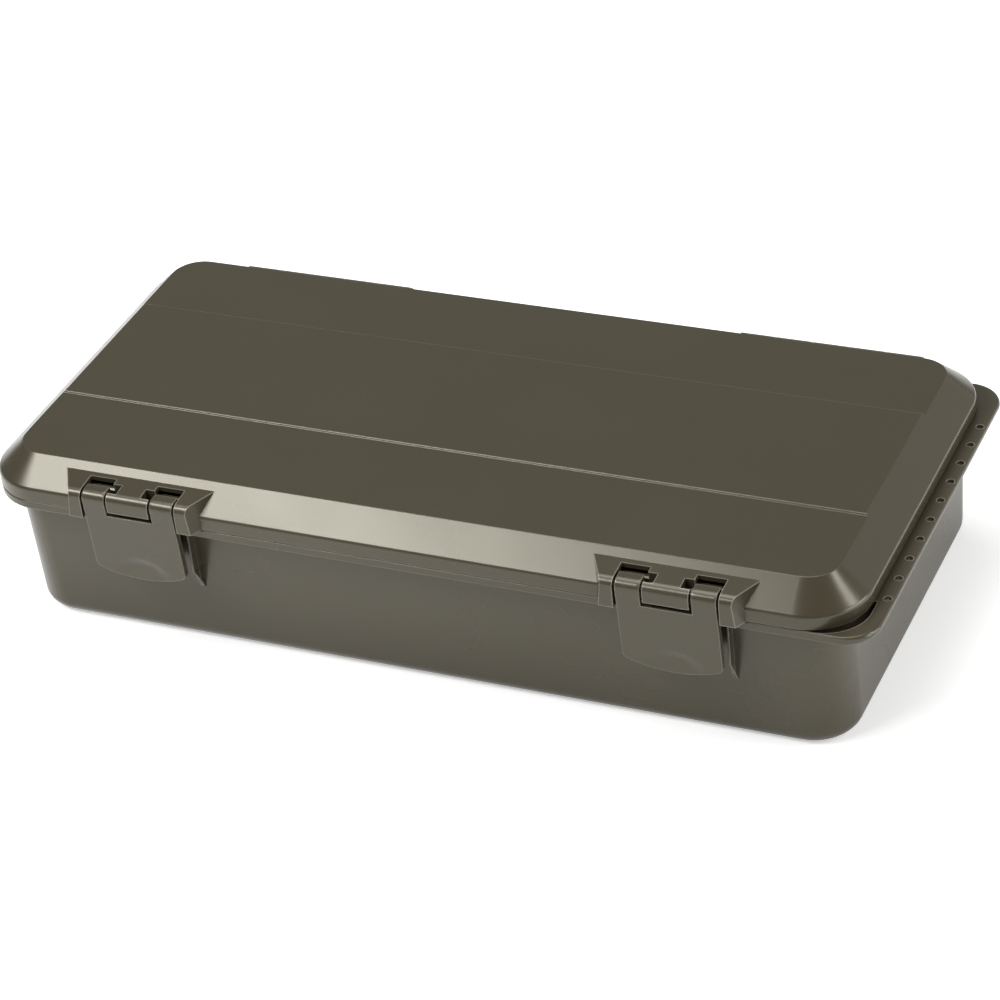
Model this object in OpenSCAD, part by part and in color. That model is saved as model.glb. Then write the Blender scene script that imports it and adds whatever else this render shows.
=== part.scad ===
/* [Lid] */
// Outer length of the lid
lid_l = 354; // [332:1:380]
// Outer depth of the lid, front to back
lid_w = 170; // [158:1:190]
// Radius of the lid's upright corners
corner_r = 23; // [19:0.5:27]
// Wall thickness of the lid and the tub
wall = 2.2; // [1.8:0.1:2.6]
// Height of the lid's upright rim above the seam
lid_rim_h = 5.8; // [5.2:0.1:7]
// How far the lid's slope runs inwards
slope_in = 11; // [9.5:0.1:12]
// How high the lid's slope rises
slope_h = 9.8; // [9.2:0.1:11]
// Depth, front to back, of the raised band along the lid's top
band_w = 69; // [40:1:90]
// How far the band's middle lies behind the lid's middle
band_shift = 1.8; // [0:0.1:6]
// How far the band stands proud
band_raise = 0.7; // [0.4:0.1:1.2]
// Gap at the seam between lid and tub
seam_gap = 0.3; // [0.2:0.05:0.5]

/* [Tub] */
// Height of the tub from the table to the seam
base_h = 59; // [56:1:72]
// Distance from the lid's end faces in to the tub's end walls
end_inset = 7; // [5:0.1:8]
// Distance from the lid's front face in to the tub's front wall
front_inset = 8.2; // [7:0.1:10]
// Distance from the lid's back face in to the tub's back wall
back_inset = 2.1; // [1.5:0.1:4]
// Radius of the tub's upright corners
tub_corner_r = 16; // [14:0.5:19]
// Radius along the tub's bottom edge
foot_r = 6; // [4.5:0.5:8]
// Height of the rim around the tub's mouth
rim_h = 3.3; // [3:0.1:4]

/* [Peg ledge] */
// Width of the ledge that shows past the lid's right end
ledge_w = 6.5; // [6:0.1:9]
// Radius of the ledge's corners
ledge_corner_r = 12.5; // [10:0.5:14]
// Gap between the lid's right end and the step round its front corner
recess_gap = 1; // [0.8:0.1:1.4]
// Depth of that step
recess_d = 2.2; // [1.2:0.1:2.4]
// Corner radius of that step
recess_r = 16.5; // [14:0.5:18]
// Thickness of the lip left in front of that step
recess_lip = 0.8; // [0.6:0.1:1.2]
// Length of that step along the lid's right end
recess_l = 24; // [18:0.5:40]
// Diameter of each peg hole
hole_d = 2.9; // [2:0.1:3.2]
// Distance between peg holes
hole_pitch = 12.7; // [10:0.1:14]
// Number of peg holes
hole_count = 10; // [4:1:11]
// Distance from the ledge's outer edge in to the holes' centres
hole_in = 2.6; // [2.4:0.1:3]
// How far the row's middle lies in front of the lid's middle
hole_shift = 1; // [0:0.5:4]

/* [Latches] */
// Distance from the lid's end faces in to the latches' middles
latch_in = 68.4; // [60:0.1:80]
// How far the pair of latches sits towards the ledge
latch_shift = 0.2; // [0:0.1:3]
// Width of a latch plate
plate_w = 38.6; // [36:0.2:42]
// Thickness of a latch plate
plate_t = 2.2; // [1.8:0.1:2.4]
// How far the plate's foot leans in towards the tub
plate_lean = 2.4; // [1.6:0.1:2.6]
// Distance from the pin down to the plate's lowest point
plate_drop = 35.5; // [33:0.1:37]
// How far the plate's lower edge bows downwards
plate_bow = 4.3; // [2:0.1:5]
// Radius of the rounded knuckles
barrel_r = 3.6; // [3.4:0.05:3.8]
// Distance from the lid's front face forwards to the latch pin
pin_out = 1.1; // [0.9:0.1:1.5]
// Height of the latch pin above the seam
pin_up = 8.7; // [8.5:0.1:9.1]
// Width of the lid's middle knuckle
middle_knuckle_w = 17.7; // [16:0.1:20]
// Width of each outer lid knuckle
side_knuckle_w = 5.8; // [4.5:0.1:6]
// Sideways gap between neighbouring latch knuckles
knuckle_gap = 0.9; // [0.6:0.1:1.1]
// Height of the lid's middle knuckle below the pin
middle_knuckle_drop = 4; // [3.4:0.1:4.2]
// Height of the plate's window below the pin
window_drop = 5.8; // [5.6:0.1:6.4]
// Distance from the seam up to the outer lid knuckles' feet
knuckle_up = 0.3; // [0.3:0.1:2.4]
// How far each cheek of the latch housing flares out towards the back
cheek_flare = 5.9; // [4:0.1:9]
// Rise of the housing's top from the pin to its back edge
housing_rise = 0.9; // [0:0.1:1.4]
// How far the flat top of a latch knuckle runs behind the pin
heel_l = 2.8; // [2.2:0.1:3.4]
// How far the slots run behind the pin
slot_l = 7; // [6.4:0.1:7.4]
// Width of each notch that shows the pin beside the middle knuckle
notch_w = 3.7; // [3:0.1:5]
// How far the notches run behind the pin
notch_l = 4.2; // [3.4:0.1:4.6]
// Thickness of the plate's two side flanges
flange_t = 1.8; // [1.4:0.1:2.2]
// Height of the latch's catch bar
catch_h = 2.6; // [2:0.1:3.2]
// Radius of the latch pins
latch_pin_r = 1; // [0.8:0.05:1.2]
// Width of the thumb scoop
scoop_w = 24.5; // [18:0.5:30]
// Height of the thumb scoop
scoop_h = 10.8; // [8:0.2:12]
// Depth of the thumb scoop at the plate's edge
scoop_d = 1; // [0.6:0.1:1.2]
// Depth of the guard ribs under each latch, front to back
guard_d = 6.3; // [5:0.1:6.5]
// Thickness of a guard rib
guard_t = 1.6; // [1.2:0.1:2.2]
// Distance of the guard ribs' outer faces past the plate's edges
guard_out = 1.4; // [0:0.1:2]
// Height above the table at which the guard ribs start to slope in
guard_up = 37; // [34:0.5:42]

/* [Hinges] */
// Distance from the lid's end faces in to the hinges' middles
hinge_in = 67.4; // [60:0.1:80]
// How far the pair of hinges sits towards the ledge
hinge_shift = 0.8; // [0:0.1:3]
// Length of each hinge
hinge_l = 75; // [60:1:85]
// Number of knuckles in each hinge, an odd number
hinge_knuckles = 5; // [3:2:7]
// Sideways gap between neighbouring hinge knuckles
hinge_gap = 0.5; // [0.4:0.1:0.8]
// Radius of a hinge knuckle
hinge_r = 3.3; // [3:0.05:3.5]
// Distance from the lid's back face to the hinge pin
hinge_out = 5; // [4:0.1:5.4]
// Height of the hinge pin above the seam
hinge_up = 1.6; // [1.4:0.1:2]
// Radius of the hinge pins
hinge_pin_r = 1.2; // [1:0.05:1.4]
// How far the lid opens before its stops meet the rim, in degrees
lid_open = 110; // [95:1:120]

/* [Inside] */
// Number of moulded lengthwise partitions
partitions = 2; // [1:1:3]
// Thickness of a partition
partition_t = 1.8; // [1.4:0.1:2.4]
// Distance from the seam down to the partitions' tops
partition_down = 7; // [4:0.5:12]
// Number of places along the tub where a divider can stand
places = 7; // [6:1:8]
// Thickness of a divider
divider_t = 1.6; // [1.2:0.1:2.2]
// How far the dividers' tops stay below the partitions' tops
divider_down = 2; // [1:0.5:5]
// How far a divider's guide ribs stand out
guide_d = 1.3; // [1:0.1:1.8]
// Thickness of a guide rib
guide_t = 1.4; // [1:0.1:2]
// Height of the bead along a divider's top edge
bead_h = 2.2; // [1.5:0.1:3]
// Thickness of the bead along a divider's top edge
bead_t = 3; // [2.6:0.1:4]

/* [Clearances] */
// Radial clearance of a pin in its bore
pin_clear = 0.05; // [0.02:0.01:0.08]
// Clearance of a divider in its guides
divider_clear = 0.25; // [0.15:0.05:0.4]
// Clearance between the catch and the rim it snaps past
catch_clear = 0.3; // [0.25:0.05:0.4]

/* [Hidden] */
LANES = ["front", "middle", "back"];
$fn = 96;
body_colour = [0.34, 0.32, 0.27];
divider_colour = [0.40, 0.38, 0.32];
steel_colour = [0.72, 0.72, 0.70];
eps = 0.01;
through = 2;

// faces of the lid
lid_x = lid_l / 2;
lid_y = lid_w / 2;
lid_z0 = base_h + seam_gap;
slope_z = base_h + lid_rim_h;
top_z = slope_z + slope_h;
steep = slope_h / slope_in;
// the inner slope lies one wall behind the outer one
shoulder = wall * (sqrt(1 + steep * steep) - steep);
inner_slope_h = slope_h - wall + shoulder;
inner_slope_in = inner_slope_h / steep;

// faces of the tub
tub_x = lid_x - end_inset;
tub_y0 = -lid_y + front_inset;
tub_y1 = lid_y - back_inset;
rim_z = base_h - rim_h;
ledge_x = lid_x + ledge_w;
hole_x = ledge_x - hole_in;
recess_x0 = lid_x - recess_r - 2 * recess_gap;
inner_foot_r = foot_r - wall;

// latch places
pin_y = -lid_y - pin_out;
pin_z = base_h + pin_up;
housing_z = pin_z + barrel_r;
housing_top = housing_z + housing_rise;
housing_back = -lid_y + (housing_top - slope_z) / steep;
housing_front = pin_y - barrel_r;
slot_in = middle_knuckle_w / 2;
slot_out = plate_w / 2 + knuckle_gap;
front_half = slot_out + side_knuckle_w;
knuckle_foot = base_h + knuckle_up;
pocket_r = sqrt(heel_l * heel_l + barrel_r * barrel_r) + 0.4;
boss_r = pocket_r + 0.7 * wall;
pocket_step = 1;
notch_back = pin_y + notch_l;
notch_front = pin_y - latch_pin_r - pin_clear;
latch_pin_l = 2 * front_half - 1.2;
blind = 0.3;

// plate, measured from the pin
front_face = -barrel_r;
back_face = front_face + plate_t;
flange_back = pin_out - 1;
flange_foot_back = flange_back + 1.5;
flange_top = window_drop + 1.6;
plate_corner = plate_drop - plate_bow;
bow_r = (plate_w * plate_w / 4 + plate_bow * plate_bow) / (2 * plate_bow);
catch_top = pin_z - rim_z + catch_clear;
catch_back = pin_out - catch_clear;
scoop_r = (scoop_w * scoop_w / 4 + scoop_d * scoop_d) / (2 * scoop_d);
scoop_tilt = atan(scoop_d / scoop_h) + atan(plate_lean / plate_drop);

// guard ribs on the tub's front wall
guard_x = plate_w / 2 + guard_out;
guard_y = tub_y0 - guard_d;
guard_foot = guard_up - 1.75 * guard_d;

// hinge places
hinge_y = lid_y + hinge_out;
hinge_z = base_h + hinge_up;
knuckle_l = (hinge_l - (hinge_knuckles - 1) * hinge_gap) / hinge_knuckles;
hinge_pin_l = hinge_l - 1.2;
stop_r = hinge_out + 1;
stop_margin = 6;
stop_from = lid_open + stop_margin - asin(hinge_out / stop_r);
stop_to = stop_from + 22;

// inside the tub
in_x = tub_x - wall;
in_y0 = tub_y0 + wall;
in_y1 = tub_y1 - wall;
lane_count = partitions + 1;
lane_w = (in_y1 - in_y0 - partitions * partition_t) / lane_count;
lane_step = lane_w + partition_t;
place_step = 2 * in_x / (places + 1);
partition_top = base_h - partition_down;
divider_top = partition_top - divider_down;
divider_w = lane_w - 2 * divider_clear;
guide_top = divider_top - 3;
slot_half = divider_t / 2 + divider_clear;
// which places hold a divider, lane by lane
standing = [[1, 2, 4, 5, 6], [2, 3, 4, 6], [1, 3, 5]];

// a flat shape with its own corner radius at each end
module plan(x0, x1, y0, y1, left_r, right_r) {
    translate([x0 + left_r, y0]) square([x1 - x0 - left_r - right_r, y1 - y0]);
    translate([x0, y0 + left_r]) square([left_r + 1, y1 - y0 - 2 * left_r]);
    translate([x1 - right_r - 1, y0 + right_r]) square([right_r + 1, y1 - y0 - 2 * right_r]);
    for (y = [y0 + left_r, y1 - left_r]) translate([x0 + left_r, y]) circle(left_r);
    for (y = [y0 + right_r, y1 - right_r]) translate([x1 - right_r, y]) circle(right_r);
}

module slab(x0, x1, y0, y1, z0, z1, left_r, right_r) {
    translate([0, 0, z0]) linear_extrude(z1 - z0) plan(x0, x1, y0, y1, left_r, right_r);
}

// a side view drawn in Y and Z, stretched along X
module along_x(x0, x1) {
    translate([x0, 0, 0]) rotate([90, 0, 90]) linear_extrude(x1 - x0) children();
}

// a front view drawn in X and Z, stretched along Y
module along_y(y0, y1) {
    translate([0, y1, 0]) rotate([90, 0, 0]) linear_extrude(y1 - y0) children();
}

module rod_x(x0, x1, y, z, r) {
    translate([x0, y, z]) rotate([0, 90, 0]) cylinder(r = r, h = x1 - x0);
}

// rounded slab whose four sides lean inwards
module sloped_slab(half_x, half_y, z, r, in, h) {
    translate([0, 0, z]) {
        along_x(-half_x + r, half_x - r)
            polygon([[-half_y, 0], [half_y, 0], [half_y - in, h], [in - half_y, h]]);
        along_y(-half_y + r, half_y - r)
            polygon([[-half_x, 0], [half_x, 0], [half_x - in, h], [in - half_x, h]]);
        for (x = [-1, 1], y = [-1, 1])
            translate([x * (half_x - r), y * (half_y - r), 0]) cylinder(r1 = r, r2 = r - in, h = h);
    }
}

// rounded slab with a rolled bottom edge
module rolled_slab(x0, x1, y0, y1, z0, z1, r, roll) {
    slab(x0, x1, y0, y1, z0 + roll, z1, r, r);
    slab(x0 + roll, x1 - roll, y0 + roll, y1 - roll, z0, z0 + 2 * roll, r - roll, r - roll);
    for (y = [y0 + roll, y1 - roll]) rod_x(x0 + r, x1 - r, y, z0 + roll, roll);
    for (x = [x0 + roll, x1 - roll])
        translate([x, y0 + r, z0 + roll]) rotate([-90, 0, 0]) cylinder(r = roll, h = y1 - y0 - 2 * r);
    for (x = [x0 + r, x1 - r], y = [y0 + r, y1 - r])
        translate([x, y, z0 + roll]) rotate_extrude() difference() {
            translate([r - roll, 0]) circle(roll);
            translate([-r, -roll]) square([r, 2 * roll]);
        }
}

function latch_x(side) = latch_shift + side * (lid_x - latch_in);
function hinge_x(side) = hinge_shift + side * (lid_x - hinge_in);

module at_latches() {
    for (side = [-1, 1]) translate([latch_x(side), 0, 0]) children();
}

module at_hinges() {
    for (side = [-1, 1]) translate([hinge_x(side), 0, 0]) children();
}

// ---- hinge ----

module hinge_knuckle_row(first) {
    for (i = [first:2:hinge_knuckles - 1])
        translate([-hinge_l / 2 + i * (knuckle_l + hinge_gap), 0, 0]) children();
}

module lid_hinge_side() {
    translate([hinge_y, hinge_z]) circle(hinge_r);
    polygon([[lid_y - wall / 2, lid_z0 + 0.2], [hinge_y, lid_z0 + 0.2],
             [hinge_y, hinge_z + hinge_r], [lid_y - wall / 2, hinge_z + hinge_r]]);
    // stop that meets the tub's rim when the lid stands open
    translate([hinge_y, hinge_z]) polygon([
        [0, 0],
        stop_r * [sin(stop_from), -cos(stop_from)],
        stop_r * [sin(stop_to), -cos(stop_to)]]);
}

module tub_hinge_side() {
    translate([hinge_y, hinge_z]) circle(hinge_r);
    polygon([[lid_y - wall, rim_z], [lid_y - wall, base_h], [lid_y + 0.6, base_h],
             [hinge_y, hinge_z], [hinge_y, hinge_z - hinge_r]]);
}

module hinge_pin(side) {
    color(steel_colour) translate([hinge_x(side), 0, 0])
        rod_x(-hinge_pin_l / 2, hinge_pin_l / 2, hinge_y, hinge_z, hinge_pin_r);
}

module hinge_bores() {
    at_hinges()
        rod_x(-hinge_l / 2 - 1, hinge_l / 2 + 1, hinge_y, hinge_z, hinge_pin_r + pin_clear);
}

// ---- lid ----

module lid_shape() {
    slab(-lid_x, lid_x, -lid_y, lid_y, lid_z0, slope_z, corner_r, corner_r);
    sloped_slab(lid_x, lid_y, slope_z, corner_r, slope_in, slope_h);
}

// the raised band, with a short bevel along both long edges
module band() {
    half = lid_x - slope_in;
    intersection() {
        along_y(-lid_y, lid_y) polygon([[-half, top_z - wall], [half, top_z - wall],
            [half, top_z], [half - band_raise / steep, top_z + band_raise],
            [band_raise / steep - half, top_z + band_raise], [-half, top_z]]);
        along_x(-lid_x, lid_x) polygon([
            [band_shift - band_w / 2, top_z - 1], [band_shift + band_w / 2, top_z - 1],
            [band_shift + band_w / 2, top_z],
            [band_shift + band_w / 2 - band_raise, top_z + band_raise],
            [band_shift - band_w / 2 + band_raise, top_z + band_raise],
            [band_shift - band_w / 2, top_z]]);
    }
}

module lid_hollow() {
    slab(-lid_x + wall, lid_x - wall, -lid_y + wall, lid_y - wall,
         lid_z0 - 1, slope_z - shoulder + eps, corner_r - wall, corner_r - wall);
    sloped_slab(lid_x - wall, lid_y - wall, slope_z - shoulder,
                corner_r - wall, inner_slope_in, inner_slope_h);
}

// side view of the housing that carries one latch
module housing_side() {
    translate([pin_y, pin_z]) circle(barrel_r);
    polygon([[-lid_y + wall / 2, knuckle_foot], [housing_front, knuckle_foot],
             [housing_front, pin_z], [pin_y, housing_z], [housing_back, housing_top],
             [housing_back + wall / 2, housing_top], [-lid_y + wall / 2, slope_z]]);
}

module housing_plan() {
    back = front_half + cheek_flare;
    deep = housing_back - housing_front;
    // carried a little past the back edge on the same slant
    polygon([[-front_half, housing_front], [front_half, housing_front],
             [back + cheek_flare * wall / deep, housing_back + wall],
             [-back - cheek_flare * wall / deep, housing_back + wall]]);
}

module latch_housing() {
    difference() {
        intersection() {
            along_x(-2 * front_half, 2 * front_half) housing_side();
            translate([0, 0, base_h]) linear_extrude(housing_top) housing_plan();
        }
        // room for the plate below the middle knuckle and for the latch's own knuckles
        translate([-slot_out, pin_y - 3 * barrel_r, base_h - 1])
            cube([2 * slot_out, 3 * barrel_r + pin_out, pin_z - middle_knuckle_drop - base_h + 1]);
        for (side = [-1, 1])
            translate([side > 0 ? slot_in : -slot_out, pin_y - 3 * barrel_r, base_h - 1])
                cube([slot_out - slot_in, 3 * barrel_r + pin_out, housing_top]);
    }
}

// thickening inside the lid behind one latch
module latch_boss() {
    half = slot_out + 0.7 * wall;
    intersection() {
        rod_x(-half, half, pin_y, pin_z, boss_r);
        along_x(-half - 1, half + 1) polygon([[-lid_y, lid_z0], [0, lid_z0], [0, top_z],
            [-lid_y + slope_in, top_z], [-lid_y, slope_z]]);
    }
}

module latch_pockets() {
    for (side = [-1, 1]) {
        x0 = side > 0 ? slot_in : -slot_out;
        rod_x(x0, x0 + slot_out - slot_in, pin_y, pin_z, pocket_r);
        translate([x0, pin_y, pin_z + pocket_step])
            cube([slot_out - slot_in, slot_l, barrel_r + housing_rise + through]);
        translate([side > 0 ? slot_in - notch_w : -slot_in - eps, notch_front, pin_z - latch_pin_r])
            cube([notch_w + eps, notch_back - notch_front, barrel_r + housing_rise + 2 * latch_pin_r]);
    }
    // the pin goes in from the left and stops blind on the right
    rod_x(-2 * front_half, latch_pin_l / 2 + blind, pin_y, pin_z, latch_pin_r + pin_clear);
}

module lid() {
    color(body_colour) difference() {
        union() {
            difference() {
                union() {
                    lid_shape();
                    band();
                }
                lid_hollow();
            }
            at_latches() {
                latch_housing();
                latch_boss();
            }
            at_hinges() hinge_knuckle_row(0) along_x(0, knuckle_l) lid_hinge_side();
        }
        at_latches() latch_pockets();
        hinge_bores();
    }
}

// ---- latch, drawn round its own pin and then put in place ----

// front view of the plate, drawn in X and Z
module plate_front() {
    half = plate_w / 2;
    intersection() {
        translate([-half, -plate_drop]) square([plate_w, plate_drop]);
        translate([0, bow_r - plate_drop]) circle(bow_r, $fn = 240);
    }
}

module plate_side() {
    shift = plate_lean;
    polygon([[front_face, 0], [back_face, 0], [back_face + shift, -plate_drop - 1],
             [front_face + shift, -plate_drop - 1]]);
}

module flange_side() {
    foot = -plate_corner;
    polygon([[front_face + 0.5, -flange_top], [flange_back, -flange_top - 2],
             [flange_foot_back, foot + 3], [flange_foot_back - 1.2, foot],
             [front_face + 0.5 + plate_lean, foot]]);
}

module latch_shape() {
    inner = slot_in + knuckle_gap;
    half = plate_w / 2;
    difference() {
        union() {
            // knuckles with their flat heels
            for (x = [-half, inner]) along_x(x, x + half - inner) {
                circle(barrel_r);
                square([heel_l, barrel_r]);
            }
            // plate
            intersection() {
                along_x(-half, half) plate_side();
                along_y(-20, 20) plate_front();
            }
            // side flanges
            for (x = [-half, half - flange_t]) along_x(x, x + flange_t) flange_side();
            // catch bar between the flanges
            along_x(-half + eps, half - eps) polygon([
                [back_face - 0.5, -catch_top], [catch_back, -catch_top],
                [catch_back, -catch_top - 0.4 * catch_h], [back_face, -catch_top - catch_h - 1],
                [back_face - 0.5, -catch_top - catch_h - 1]]);
        }
        // window for the lid's middle knuckle
        translate([-inner, front_face - 1, -window_drop]) cube([2 * inner, 20, 2 * window_drop]);
        // thumb scoop, deepest at the lower edge
        translate([0, front_face + plate_lean, -plate_drop]) rotate([scoop_tilt, 0, 0])
            translate([0, scoop_d - scoop_r, -scoop_h])
                cylinder(r = scoop_r, h = 3 * scoop_h, $fn = 240);
        rod_x(-plate_w, plate_w, 0, 0, latch_pin_r + pin_clear);
    }
}

module latch(side) {
    color(body_colour) translate([latch_x(side), pin_y, pin_z]) latch_shape();
}

module latch_pin(side) {
    color(steel_colour) translate([latch_x(side), 0, 0])
        rod_x(-latch_pin_l / 2, latch_pin_l / 2, pin_y, pin_z, latch_pin_r);
}

// ---- tub ----

// two upright ribs that stop a finger or a line getting under the latch from the side
module guard_ribs() {
    for (x = [-guard_x, guard_x - guard_t]) along_x(x, x + guard_t)
        polygon([[tub_y0 + wall / 2, rim_z + 0.5], [guard_y, rim_z + 0.5], [guard_y, guard_up],
                 [tub_y0, guard_foot], [tub_y0 + wall / 2, guard_foot]]);
}

module rim_plan() {
    plan(-lid_x, ledge_x, -lid_y, lid_y, corner_r, ledge_corner_r);
}

module lanes() {
    for (i = [1:1:partitions])
        translate([-in_x - eps, in_y0 + i * lane_step - partition_t, wall - eps])
            cube([2 * in_x + 2 * eps, partition_t, partition_top - wall + eps]);
}

// guide ribs in pairs, on both sides of every lane at every place
module guides() {
    for (lane = [0:1:lane_count - 1], place = [1:1:places], side = [-1, 1]) {
        x = -in_x + place * place_step;
        y0 = in_y0 + lane * lane_step;
        for (y = [y0 - eps, y0 + lane_w - guide_d + eps])
            translate([side > 0 ? x + slot_half : x - slot_half - guide_t, y, wall - eps])
                cube([guide_t, guide_d, guide_top - wall]);
    }
}

// step in the ledge round the lid's right front corner
module recess() {
    intersection() {
        difference() {
            slab(-lid_x, lid_x + recess_gap, -lid_y + recess_lip, lid_y - recess_lip,
                 base_h - recess_d, base_h + 1, recess_r, recess_r);
            slab(-lid_x, lid_x - wall, -lid_y + wall, lid_y - wall,
                 base_h - recess_d - 1, base_h + 2, corner_r - wall, corner_r - wall);
        }
        translate([recess_x0, -lid_y, 0]) cube([ledge_x, recess_l, 2 * base_h]);
    }
}

module base_tub() {
    color(body_colour) difference() {
        union() {
            difference() {
                union() {
                    rolled_slab(-tub_x, tub_x, tub_y0, tub_y1, 0, base_h - 1, tub_corner_r, foot_r);
                    translate([0, 0, rim_z]) linear_extrude(rim_h) rim_plan();
                }
                rolled_slab(-in_x, in_x, in_y0, in_y1, wall, base_h + foot_r,
                            tub_corner_r - wall, inner_foot_r);
                recess();
                // peg holes
                for (i = [0:1:hole_count - 1])
                    translate([hole_x, -hole_shift + (i - (hole_count - 1) / 2) * hole_pitch, rim_z - 1])
                        cylinder(d = hole_d, h = rim_h + 2);
            }
            lanes();
            guides();
            at_latches() guard_ribs();
            at_hinges() hinge_knuckle_row(1) along_x(0, knuckle_l) tub_hinge_side();
        }
        hinge_bores();
    }
}

// ---- loose dividers ----

module divider(lane, n) {
    x = -in_x + standing[lane][n] * place_step;
    y = in_y0 + lane * lane_step + lane_w / 2;
    half = divider_w / 2;
    cut = inner_foot_r + 0.6;
    color(divider_colour) translate([x, y, 0]) {
        along_x(-divider_t / 2, divider_t / 2) polygon([
            [-half + cut, wall], [half - cut, wall], [half, wall + cut], [half, divider_top],
            [-half, divider_top], [-half, wall + cut]]);
        // bead between the guides, to lift it by
        translate([-bead_t / 2, -half + guide_d + 0.5, divider_top - bead_h])
            cube([bead_t, divider_w - 2 * guide_d - 1, bead_h]);
    }
}

base_tub();
lid();
latch(-1);  // latch_left
latch(1);  // latch_right
latch_pin(-1);  // latch_pin_left
latch_pin(1);  // latch_pin_right
hinge_pin(-1);  // hinge_pin_left
hinge_pin(1);  // hinge_pin_right
for (lane = [0:1:2], n = [0:1:len(standing[lane]) - 1])
    divider(lane, n);
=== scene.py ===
import bpy
import bmesh
import math
from mathutils import Matrix, Vector


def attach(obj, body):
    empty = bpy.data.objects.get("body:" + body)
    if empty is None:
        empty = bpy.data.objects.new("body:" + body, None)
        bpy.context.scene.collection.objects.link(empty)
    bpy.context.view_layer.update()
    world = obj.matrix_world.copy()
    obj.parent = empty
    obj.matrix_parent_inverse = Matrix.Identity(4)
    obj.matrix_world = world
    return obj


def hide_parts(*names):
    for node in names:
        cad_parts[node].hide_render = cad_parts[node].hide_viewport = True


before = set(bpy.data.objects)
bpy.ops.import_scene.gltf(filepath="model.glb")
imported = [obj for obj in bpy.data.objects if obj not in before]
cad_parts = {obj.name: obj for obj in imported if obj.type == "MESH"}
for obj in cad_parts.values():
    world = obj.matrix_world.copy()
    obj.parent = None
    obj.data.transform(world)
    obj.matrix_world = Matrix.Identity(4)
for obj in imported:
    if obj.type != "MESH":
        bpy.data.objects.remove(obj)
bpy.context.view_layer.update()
mm = 0.001
print("frame loaded:", len(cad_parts), "nodes")

# camera, solved from the straight edges of the box

camera = {
    "place": (0.5056, -1.0007, 0.7856),
    "azimuth": 26.64,      # degrees, 0 looks along +Y
    "elevation": 33.97,
    "roll": -6.64,
    "lens": 124.6,         # mm on a 36 mm sensor
}


def addCamera(c):
    a, e, r = (math.radians(c[k]) for k in ("azimuth", "elevation", "roll"))
    back = Vector((math.sin(a) * math.cos(e), -math.cos(a) * math.cos(e), math.sin(e)))
    right = Vector((math.cos(a), math.sin(a), 0))
    up = back.cross(right)
    camX = right * math.cos(r) + up * math.sin(r)
    camY = up * math.cos(r) - right * math.sin(r)
    data = bpy.data.cameras.new("camera")
    data.sensor_width = 36
    data.lens = c["lens"]
    data.clip_start, data.clip_end = 0.05, 20
    obj = bpy.data.objects.new("camera", data)
    turn = Matrix((camX, camY, back)).transposed().to_4x4()
    obj.matrix_world = Matrix.Translation(c["place"]) @ turn
    bpy.context.scene.collection.objects.link(obj)
    bpy.context.scene.camera = obj


addCamera(camera)

# lamps: one long softbox in front on the left, the rest soft and weak

lamps = {
    "softbox": {"place": (-0.82, -0.82, 1.30), "size": (1.0, 0.40), "power": 18.5},
    "topBox": {"place": (-0.25, 0.2, 1.7), "size": (1.3, 1.0), "power": 17.5},
    "rightBox": {"place": (1.35, 0.25, 1.15), "size": (0.36, 0.36), "power": 4},
    "rightFill": {"place": (1.5, 0.15, 0.42), "size": (1.2, 0.6), "power": 12},
    "sideBack": {"place": (1.02, 1.3, 0.58), "size": (0.9, 0.6), "power": 0.8},
    "backBox": {"place": (-0.6, 1.9, 1.3), "size": (1.8, 1.2), "power": 1.0},
    "frontFill": {"place": (-0.6, -1.5, 0.55), "size": (1.0, 0.5), "power": 0.5},
}
lampAim = Vector((0, 0, 0.04))      # middle of the box


def addLight(name, place, size, power):
    data = bpy.data.lights.new(name, "AREA")
    data.shape = "RECTANGLE"
    data.size, data.size_y = size
    data.energy = power
    obj = bpy.data.objects.new(name, data)
    obj.location = place
    obj.rotation_mode = "QUATERNION"
    obj.rotation_quaternion = (lampAim - Vector(place)).to_track_quat("-Z", "Y")
    bpy.context.scene.collection.objects.link(obj)


for lampName, lamp in lamps.items():
    addLight(lampName, **lamp)

# world: white to the camera, dim as a light and in reflections
worldLevel = 0.16


def studioWorld(level):
    world = bpy.data.worlds.new("studio")
    bpy.context.scene.world = world
    world.use_nodes = True
    nodes, links = world.node_tree.nodes, world.node_tree.links
    nodes.clear()
    out = nodes.new("ShaderNodeOutputWorld")
    mix = nodes.new("ShaderNodeMixShader")
    dim, white = nodes.new("ShaderNodeBackground"), nodes.new("ShaderNodeBackground")
    dim.inputs["Color"].default_value = (1, 1, 1, 1)
    dim.inputs["Strength"].default_value = level
    white.inputs["Color"].default_value = (1, 1, 1, 1)
    white.inputs["Strength"].default_value = 1
    path = nodes.new("ShaderNodeLightPath")
    links.new(path.outputs["Is Camera Ray"], mix.inputs[0])
    links.new(dim.outputs[0], mix.inputs[1])
    links.new(white.outputs[0], mix.inputs[2])
    links.new(mix.outputs[0], out.inputs[0])


studioWorld(worldLevel)


def mathNode(tree, op, a, b=None, clamp=False):
    node = tree.nodes.new("ShaderNodeMath")
    node.operation = op
    node.use_clamp = clamp
    for i, v in enumerate((a, b)):
        if v is None:
            continue
        if isinstance(v, (int, float)):
            node.inputs[i].default_value = v
        else:
            tree.links.new(v, node.inputs[i])
    return node.outputs[0]


# floor: its glow is seen by the camera and in reflections, and lights nothing
floorLook = {
    "half": 6, "top": -0.0002, "grey": 0.9, "roughness": 0.9, "glow": 0.44,
    # a strip along X that is duller in reflections
    "dimLevel": 0.5, "dimFrom": (-0.08, 0.05), "dimTo": (0.16, 0.26),
    # more glow far away, to keep low views white
    "farGlow": 0.8, "farFrom": 0.8, "farTo": 2.0,
}


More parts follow.
